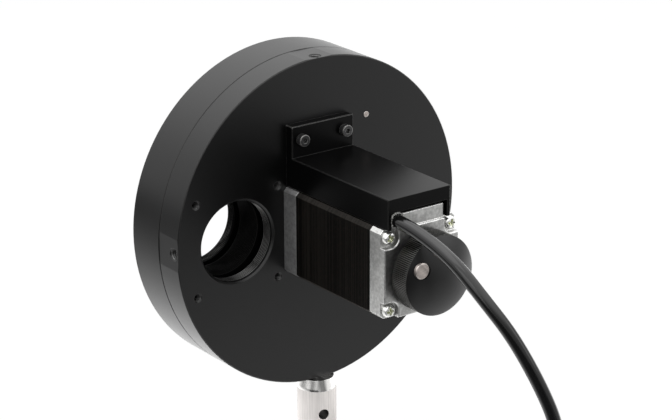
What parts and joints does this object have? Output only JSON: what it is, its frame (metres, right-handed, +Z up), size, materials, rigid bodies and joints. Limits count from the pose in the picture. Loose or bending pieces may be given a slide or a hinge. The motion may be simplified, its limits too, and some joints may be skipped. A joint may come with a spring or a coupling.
{
  "type": "motorized filter wheel",
  "caption": "Round housing with a threaded light aperture, an indexed filter wheel inside, a stepper motor with hand knob behind, and a cable ending in a plug.",
  "frame": {"origin": "centre of the post's foot, on the axis of its foot thread", "axes": "+Z up along the post, +Y along the light path towards the front face, motor and knob towards -Y, aperture on the -X side"},
  "size_m": [0.1192, 0.1885, 0.1576],
  "materials": {
    "black_anodised": "satin black anodised",
    "cast_aluminium": "as cast, matte grey",
    "laminations": "stacked dark sheet edges",
    "zinc_steel": "zinc plated",
    "black_steel": "black oxide",
    "steel": "turned and polished",
    "rotor_iron": "ground",
    "magnet": "nickel plated",
    "copper": "enamelled winding wire",
    "board": "solder mask",
    "black_plastic": "moulded",
    "cable_jacket": "smooth semi-gloss jacket",
    "wire_jacket": "extruded insulation",
    "knob_black": "satin black anodised, knurled band",
    "tin_plate": "tin plated",
    "gold_contact": "gold flash"
  },
  "bodies": {
    "housing": {"rear_housing": "black_anodised", "front_housing": "black_anodised", "housing_screws": "black_steel", "bearing_outer_races": "steel", "motor_front_cap": "cast_aluminium", "stator_stack": "laminations", "stator_windings": "copper", "motor_rear_cap": "cast_aluminium", "wave_washer": "steel", "motor_body_screws": "zinc_steel", "motor_mount_screws": "black_steel", "cable_cover": "black_anodised", "cover_screws": "black_steel", "locating_pin": "steel", "sensor_board": "board", "hall_sensor": "black_plastic", "board_screws": "steel", "sensor_wires": "wire_jacket", "motor_leads": "wire_jacket", "mounting_post": "steel", "post_stud": "black_steel", "cable": "cable_jacket", "plug_hood": "black_plastic", "plug_shell": "tin_plate", "plug_insert": "black_plastic", "plug_pins": "gold_contact", "thumb_screws": "tin_plate"},
    "rotor": {"filter_wheel": "black_anodised", "retaining_rings": "black_anodised", "index_magnet": "magnet", "wheel_washer": "steel", "wheel_screw": "black_steel", "wheel_spacer": "steel", "motor_shaft": "steel", "rotor_front_cup": "rotor_iron", "rotor_rear_cup": "rotor_iron", "rotor_magnet": "magnet", "bearing_inner_races": "steel", "knob": "knob_black", "knob_pin": "steel", "knob_set_screw": "black_steel"}
  },
  "joints": [
    {"name": "wheel_spin", "type": "hinge", "parent": "housing", "child": "rotor", "pos_m": [0, 0, 0.10405], "axis": [0, 1, 0], "continuous": true}
  ]
}
